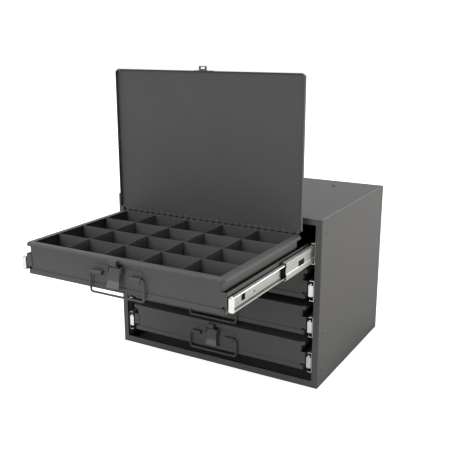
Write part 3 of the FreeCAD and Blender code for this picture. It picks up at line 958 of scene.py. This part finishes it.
def makeBoxes():  # from the floor's inside over the rim to the floor's underside
    sheet, top, bottom = box["sheet"], box["top"], box["bottom"]
    roll, lip, rimBottom = box["roll"], box["lip"], box["rimBottom"]
    turns = [math.radians(90 - 18 * step) for step in range(6)]
    inner = roll - sheet
    rows = [
        (sheet + 0.9, bottom + sheet, False),
        (sheet + 0.25, bottom + sheet + 0.3, False),
        (sheet, bottom + sheet + 0.9, False),
        (sheet, top - sheet, False),
        (lip - 0.4, top - sheet, False, sheet),
        (lip, top - sheet + 0.25, False, sheet),
        (lip, top - 0.3, False, sheet),
        (lip - 0.5, top, False, sheet - 0.3),
    ]
    rows += [(roll * (1 - math.cos(turn)), top - roll * (1 - math.sin(turn)), True) for turn in turns]
    rows += [
        (0.0, rimBottom + 0.2, True),
        (0.2, rimBottom, True),
        (sheet - 0.2, rimBottom, True),
        (sheet, rimBottom + 0.2, True),
    ]
    turns.reverse()
    rows += [(roll - inner * math.cos(turn), top - roll + inner * math.sin(turn), True) for turn in turns]
    rows += [
        (0.0, top - sheet, False),
        (0.0, bottom + 0.9, False),
        (0.25, bottom + 0.25, False),
        (0.9, bottom, False),
    ]
    rings = [boxRing(*row) for row in rows]
    tub = Piece().rings(rings).make("box", charcoal, sharp=shading["sharpBox"])
    atEveryLevel(tub, "box", "drawer", ("box",))
    edge = box["dividerEdge"]
    softenedAtEveryLevel("dividers", "dividers_{}_plates", "drawer", charcoal, edge)
    print("boxes made")


makeBoxes()


# Lids

lid = {
    "half": 230.3, "front": -202.2, "back": 114.5, "sheet": 1.0, "under": 66.9, "flange": 59.0,
    "cut": (8.0, 6.0), "sideBack": 112.0, "bend": 1.2, "edge": 0.2,
}
strike = {
    "half": 22.0, "sheet": 0.8, "offset": 0.4, "tabHalf": 9.5, "tab": (-212.0, -202.2),
    "tabHeights": (58.4, 59.6), "tabCorners": [2.0, 2.0, 0, 0], "slotHalf": 5.0, "slot": (-210.2, -206.2),
    "slotHeights": (57.0, 61.0), "slotCorner": 1.2,
}


def strikeOutline(half, reachY, radius, heights):
    front, back = reachY
    outline = roundedCorners([(-half, front), (half, front), (half, back), (-half, back)], radius)
    return Piece().alongZ(outline, *heights)


def makeLids():
    sheet = lid["sheet"]
    middle = sheet / 2
    top = lid["under"] + sheet
    cutX, cutY = lid["cut"]
    frontHalf = lid["half"] - cutX
    bend = lid["bend"]
    edgeX = lid["half"] - middle - bend
    edgeY = lid["front"] + middle + bend
    sideStart = lid["front"] + cutY
    right = [(frontHalf, edgeY), (edgeX, sideStart), (edgeX, lid["sideBack"]), (lid["half"], lid["sideBack"]),
             (lid["half"], lid["back"])]
    outline = right + [(-x, y) for x, y in reversed(right)]
    parts = [Piece().alongZ(outline, lid["under"], top)]
    height = lid["under"] + middle
    frontLine = [(edgeY, height), (lid["front"] + middle, height), (lid["front"] + middle, lid["flange"])]
    parts.append(Piece().alongX(sheetSection(frontLine, sheet, bend), -frontHalf, frontHalf))
    for side in (-1, 1):
        wall = side * (lid["half"] - middle)
        line = [(side * edgeX, height), (wall, height), (wall, lid["flange"])]
        parts.append(Piece().alongY(sheetSection(line, sheet, bend), sideStart, lid["sideBack"]))
        corner = [Vector((side * frontHalf, lid["front"] + middle)), Vector((wall, sideStart))]
        parts.append(Piece().alongZ(thickened(corner, sheet), lid["flange"], height))
    strikeFace = lid["front"] - strike["offset"]
    plate = sheetSection([(strikeFace, lid["under"]), (strikeFace, lid["flange"])], strike["sheet"], 0)
    parts.append(Piece().alongX(plate, -strike["half"], strike["half"]))
    panel = madeTogether("lidPanel", parts, lid["edge"])
    tab = strikeOutline(strike["tabHalf"], strike["tab"], strike["tabCorners"], strike["tabHeights"])
    slot = strikeOutline(strike["slotHalf"], strike["slot"], strike["slotCorner"], strike["slotHeights"])
    tab = tab.make("strikeTab", charcoal, edge=lid["edge"], cuts=slot)
    whole = joinedPieces("lid", [panel, tab])
    atEveryLevel(whole, "lid", "lid", ("lid",), openTurn=lidTurn)
    print("lids made")


def knuckleRow(name, firstIndex, tongueSize, tongueMiddle):
    pitch = 2 * hinge["halfRun"] / hinge["count"]
    length = pitch - hinge["gap"]
    count = (hinge["count"] - firstIndex + 1) // 2
    start = -hinge["halfRun"] + (firstIndex + 0.5) * pitch
    tree = Tree(name)
    number = tree.size("Count", count, "NodeSocketInt")
    radius = tree.size("Radius", hinge["radius"] * mm)
    depth = tree.size("Length", length * mm)
    barrel = tree.add("GeometryNodeMeshCylinder", sockets={"Vertices": 28, "Radius": radius, "Depth": depth})
    barrel = tree.add("GeometryNodeTransform", sockets={
        "Geometry": barrel, "Rotation": (0, math.pi / 2, 0),
        "Translation": Vector((0, hinge["y"], hinge["z"])) * mm,
    })
    tongue = tree.add("GeometryNodeMeshCube", sockets={"Size": Vector((length, *tongueSize)) * mm})
    tongue = tree.add("GeometryNodeTransform", sockets={
        "Geometry": tongue, "Translation": Vector((0, *tongueMiddle)) * mm,
    })
    knuckles = tree.row(number, (start, 0, 0), (2 * pitch, 0, 0), tree.joined(barrel, tongue))
    return tree.make(name, knuckles, charcoal)


def makeHinges():
    boxKnuckles = knuckleRow("boxKnuckles", 0, *hinge["boxTongue"])
    atEveryLevel(boxKnuckles, "boxKnuckles", "drawer")
    lidKnuckles = knuckleRow("lidKnuckles", 1, *hinge["lidTongue"])
    atEveryLevel(lidKnuckles, "lidKnuckles", "lid", openTurn=lidTurn)
    for level in rack["levels"]:
        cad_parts[f"hinge_pin_{level}"].data.materials[0] = darkWire
    print("hinges made")


makeLids()
makeHinges()


# Latches and bails. Reach is the distance in front of the box's front face.

latch = {
    "sheet": 1.2, "plateHalf": 56.0, "plateHeights": (17.5, 50.5), "lug": (33.0, 56.0), "lugRoll": 3.3,
    "lugFoot": 0.9, "lugTurn": (90, -200), "plateCorner": 4.0, "edge": 0.25,
    "bailReach": 7.0, "bailHeight": 35.0, "earSpan": (14.0, 15.2),
    "ear": [(0.6, 41.0), (11.5, 41.0), (13.0, 43.0), (13.0, 51.0), (11.5, 53.0), (5.0, 54.0), (0.6, 50.0)],
    "earCorners": [0, 1, 1.5, 2, 1.5, 3, 0],
}
lever = {
    "body": [(16.0, 13.4), (12.2, 27.0), (11.4, 47.0), (11.4, 51.2)], "bodyBends": [0, 2.5, 3.0, 0],
    "taper": ((13.0, 14.5), (27.0, 12.4)),
    "neck": [(8.6, 44.0), (8.6, 51.8), (11.6, 53.6), (17.9, 57.6), (17.9, 65.8), (12.8, 65.8)],
    "neckBends": [0, 1.5, 1.5, 2.5, 1.4, 0], "neckHalf": 8.0, "lighterTabBelow": 26.5, "flangeSpan": (11.2, 12.4),
    "flange": [(11.7, 27.5), (9.5, 27.5), (5.5, 42.0), (5.5, 51.5), (11.0, 51.5)],
    "flangeCorners": [0, 1, 3, 2, 0],
}


def reach(distance):
    return rack["frontFace"] - distance


def leverHalf(height):  # wider towards the finger tab
    (low, wide), (high, narrow) = lever["taper"]
    share = min(max((height - low) / (high - low), 0.0), 1.0)
    return wide + (narrow - wide) * share


def sidePieces(outline, span):  # one piece on each side, over a span of distances from the middle
    outline = [(reach(distance), height) for distance, height in outline]
    return [Piece().alongX(outline, *sorted((side * span[0], side * span[1]))) for side in (-1, 1)]


def makePlates():
    half = latch["plateHalf"]
    low, high = latch["plateHeights"]
    roll = latch["lugRoll"]
    corners = [(-half, low), (half, low), (half, high), (-half, high)]
    corners = roundedCorners(corners, latch["plateCorner"])
    parts = [Piece().alongY(corners, reach(latch["sheet"]), rack["frontFace"])]
    centre = (latch["bailReach"], latch["bailHeight"])
    curl = [Vector((latch["lugFoot"], centre[1] + roll))]
    curl += arcPoints(centre, roll, *latch["lugTurn"], steps=20)
    lugs = sidePieces(thickened(curl, latch["sheet"]), latch["lug"])
    ears = sidePieces(roundedCorners(latch["ear"], latch["earCorners"]), latch["earSpan"])
    parts += [lugs[0], ears[0], lugs[1], ears[1]]
    plate = madeTogether("latchPlate", parts, latch["edge"])
    atEveryLevel(plate, "latchPlate", "drawer", ("latch_plate",))


def makeLevers():
    sheet = latch["sheet"]
    line = roundedCorners(lever["body"], lever["bodyBends"], steps=5, closed=False)
    section = thickened(line, sheet)
    rings = []
    for point, outer, inner in zip(line, section, reversed(section)):
        half = leverHalf(point.y)
        rings.append([(-half, reach(outer.x), outer.y), (half, reach(outer.x), outer.y),
                      (half, reach(inner.x), inner.y), (-half, reach(inner.x), inner.y)])
    neck = sheetSection(lever["neck"], sheet, lever["neckBends"], steps=5)
    neck = [(reach(point.x), point.y) for point in neck]
    parts = [Piece().rings(rings), Piece().alongX(neck, -lever["neckHalf"], lever["neckHalf"])]
    parts += sidePieces(roundedCorners(lever["flange"], lever["flangeCorners"]), lever["flangeSpan"])
    whole = madeTogether("latchLever", parts, latch["edge"])
    # the finger tab's front faces get the lighter colour
    repaint(whole, lighterTabCharcoal, lambda place, normal: place.z < lever["lighterTabBelow"] and normal.y < -0.5)
    atEveryLevel(whole, "latchLever", "latch", ("latch_lever",), openTurn=leverTurn)


rivet = {"places": ((45.7, 24.5), (45.7, 45.5)), "head": 3.0, "flatness": 0.3, "tail": 0.86}
pin = {"half": 15.4, "radius": 1.5, "head": (15.2, 16.2), "headRadius": 2.4}
spring = {"turns": 12, "steps": 16, "half": 8.7, "radius": 1.85, "wire": 0.32}


def makeFasteners():
    tree = Tree("plateRivets")
    radius = tree.size("HeadRadius", rivet["head"] * mm)
    dome = tree.add("GeometryNodeMeshUVSphere", sockets={"Segments": 28, "Rings": 14, "Radius": radius})
    rows = []
    for y, scale in ((reach(latch["sheet"]), 1.0), (reach(-box["sheet"]), rivet["tail"])):
        for x, z in rivet["places"]:
            flat = (scale, rivet["flatness"] * scale, scale)
            rows.append(tree.row(2, (-x, y, z), (2 * x, 0, 0), dome, flat))
    heads = tree.make("plateRivets", tree.joined(*rows), charcoal)
    y, z = reach(pivot["reach"]), pivot["z"]
    shaft = wireMesh("pivotPin", [(-pin["half"], y, z), (pin["half"], y, z)], pin["radius"], charcoal)
    caps = []
    for side in (-1, 1):
        ends = [(side * x, y, z) for x in pin["head"]]
        caps.append(wireMesh(f"pivotHead{side}", ends, pin["headRadius"], charcoal))
    whole = joinedPieces("fasteners", [heads, shaft] + caps)
    atEveryLevel(whole, "fasteners", "drawer", ("rivets",))

    count = spring["turns"] * spring["steps"]
    points = []
    for step in range(count + 1):
        angle = math.tau * step / spring["steps"]
        x = spring["half"] * (2 * step / count - 1)
        points.append((x, y + spring["radius"] * math.cos(angle), z + spring["radius"] * math.sin(angle)))
    coil = wireMesh("latchSpring", points, spring["wire"], zinc, sides=1)
    atEveryLevel(coil, "latchSpring", "drawer", ("latch_spring",))


bail = {
    "wire": 2.2, "inner": 34.0, "shoulder": 61.2, "widest": (62.5, 14.0), "foot": 60.6, "drop": 40.0,
    "bends": [0, 3.6, 18.0, 4.2],
}


def makeBails():
    y = reach(latch["bailReach"])
    top = latch["bailHeight"]
    line = [(bail["inner"], top), (bail["shoulder"], top), bail["widest"], (bail["foot"], top - bail["drop"])]
    line += [(-x, z) for x, z in reversed(line)]
    path = roundedCorners(line, bail["bends"] + bail["bends"][::-1], steps=6, closed=False)
    wire = wireMesh("bail", [(point.x, y, point.y) for point in path], bail["wire"], charcoal)
    atEveryLevel(wire, "bail", "bail", ("bail",))


makePlates()
makeLevers()
makeFasteners()
makeBails()
print("latches and bails made")

for name, finish in (("slide_posts", charcoal), ("slide_screws", zinc)):
    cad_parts[name].data.materials[0] = finish


# Floor, light and camera

white = (1, 1, 1, 1)
stage = {
    "world": 0.145, "floorSize": 12.0, "floorColour": (0.9, 0.9, 0.9, 1), "floorLift": 0.82,
    "bounce": (0.12, 0.12, 0.12, 1),
}
lamps = (
    {"name": "front", "azimuth": -9, "elevation": 22, "softness": 24, "power": 1.04,
     "colour": (0.98, 0.99, 1.0)},
    {"name": "side", "azimuth": 126, "elevation": 0, "softness": 3, "power": 1.72,
     "colour": (1.0, 0.97, 0.91)},
    {"name": "above", "azimuth": -90, "elevation": 86, "softness": 32, "power": 2.03,
     "colour": (1.0, 1.0, 1.0)},
)


def viewDirection(azimuth, elevation):  # from the object towards a place round it, 0 being its front
    across, upward = math.radians(azimuth), math.radians(elevation)
    level = math.cos(upward)
    return Vector((math.sin(across) * level, -math.cos(across) * level, math.sin(upward)))


def makeStage():
    floorMesh = bpy.data.meshes.new("floor")
    size = stage["floorSize"]
    corners = [(-size, -size, 0), (size, -size, 0), (size, size, 0), (-size, size, 0)]
    floorMesh.from_pydata(corners, [], [(0, 1, 2, 3)])
    floor = linked("floor", floorMesh)
    finish = Finish("paleFloor")
    seen = finish.add("ShaderNodeLightPath", output="Is Camera Ray")
    glow = finish.blended(seen, stage["bounce"], white)
    finish.set(Base_Color=stage["floorColour"], Roughness=0.9, Specular_IOR_Level=0.0)
    finish.set(Emission_Color=glow, Emission_Strength=stage["floorLift"])
    floorMesh.materials.append(finish.material)

    world = bpy.data.worlds.new("studio")
    bpy.context.scene.world = world
    world.use_nodes = True
    nodes = world.node_tree.nodes
    links = world.node_tree.links
    background = nodes["Background"]
    rays = nodes.new("ShaderNodeLightPath")
    seen = rays.outputs["Is Camera Ray"]
    for kind in ("Is Glossy Ray", "Is Transmission Ray"):
        either = nodes.new("ShaderNodeMath")
        either.operation = "MAXIMUM"
        links.new(seen, either.inputs[0])
        links.new(rays.outputs[kind], either.inputs[1])
        seen = either.outputs[0]
    strength = nodes.new("ShaderNodeMapRange")
    links.new(seen, strength.inputs["Value"])
    strength.inputs["To Min"].default_value = stage["world"]
    strength.inputs["To Max"].default_value = 1.0
    links.new(strength.outputs[0], background.inputs["Strength"])
    background.inputs["Color"].default_value = white

    for lamp in lamps:
        sun = bpy.data.lights.new(lamp["name"], "SUN")
        sun.energy = lamp["power"]
        sun.color = lamp["colour"]
        sun.angle = math.radians(lamp["softness"])
        towards = viewDirection(lamp["azimuth"], lamp["elevation"])
        linked(lamp["name"], sun).rotation_euler = towards.to_track_quat("Z", "Y").to_euler()


camera = {
    "azimuth": 30.05, "elevation": 14.86, "roll": -0.123, "place": (784.2, -1499.3, 738.4),
    "lens": 56.13, "sensor": 36.0, "farthest": 50.0,
}


def makeCamera():
    back = viewDirection(camera["azimuth"], camera["elevation"])
    right = Vector((0, 0, 1)).cross(back).normalized()
    up = back.cross(right)
    turn = Matrix((right, up, back)).transposed().to_4x4()
    lens = bpy.data.cameras.new("camera")
    lens.lens = camera["lens"]
    lens.sensor_width = camera["sensor"]
    lens.clip_end = camera["farthest"]
    viewer = linked("camera", lens)
    roll = Matrix.Rotation(math.radians(camera["roll"]), 4, "Z")
    viewer.matrix_world = Matrix.Translation(Vector(camera["place"]) * mm) @ turn @ roll
    bpy.context.scene.camera = viewer


makeStage()
makeCamera()
bpy.context.scene.view_settings.view_transform = "Standard"

print("stage and camera made")
